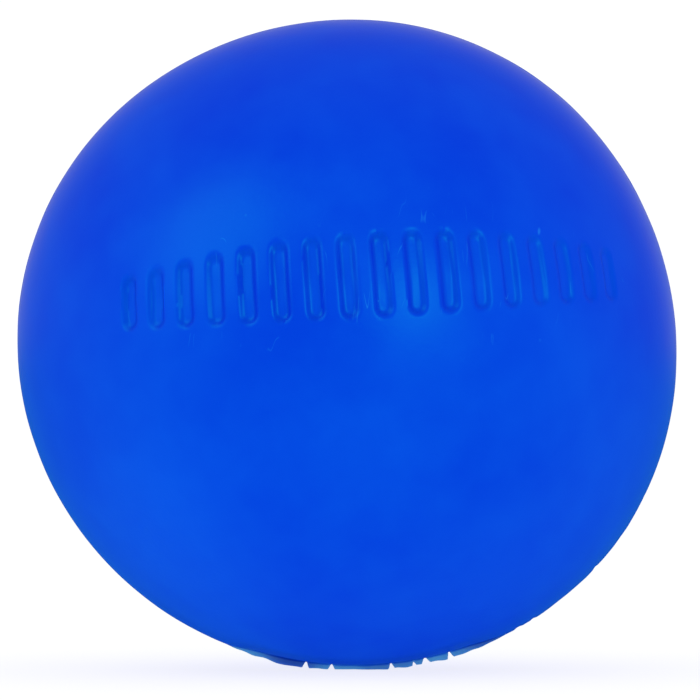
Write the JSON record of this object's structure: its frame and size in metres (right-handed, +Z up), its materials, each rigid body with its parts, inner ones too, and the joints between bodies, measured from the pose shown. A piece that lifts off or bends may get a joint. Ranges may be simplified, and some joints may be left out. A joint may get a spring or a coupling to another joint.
{
  "type": "stress ball",
  "caption": "Blue gel-filled stress ball with moulded half-skins, a bonded parting line, a row of shallow grip grooves and a plugged filling port.",
  "frame": {"origin": "middle of the flat that the ball rests on, straight below the ball's centre", "axes": "+Z up as it rests, -Y out of the grooved face, +Y out of the plugged back, +X to the right when facing the grooves"},
  "size_m": [0.0504, 0.05, 0.05],
  "materials": {
    "skin_elastomer": "smooth satin, slightly translucent",
    "bond_rubber": "satin, trimmed by hand",
    "gel": "wet and translucent",
    "plug_elastomer": "satin",
    "cement": "glossy"
  },
  "bodies": {
    "back_half": {"back_skin": "skin_elastomer", "fill_plug": "plug_elastomer", "plug_cement": "cement"},
    "front_half": {"front_skin": "skin_elastomer"},
    "middle": {"gel_core": "gel", "seam_bond": "bond_rubber"}
  },
  "joints": [
    {"name": "squeeze", "type": "slide", "parent": "back_half", "child": "front_half", "axis": [0, 1, 0], "range_m": [0, 0.025], "stiffness_N_per_m": 1200, "deforming": ["front_skin", "back_skin"]},
    {"name": "core_shift", "type": "slide", "parent": "back_half", "child": "middle", "axis": [0, 1, 0], "range_m": [0, 0.0125], "deforming": ["gel_core"]}
  ],
  "couplings": [
    {"joint": "core_shift", "follows": "squeeze", "ratio": 0.5}
  ]
}
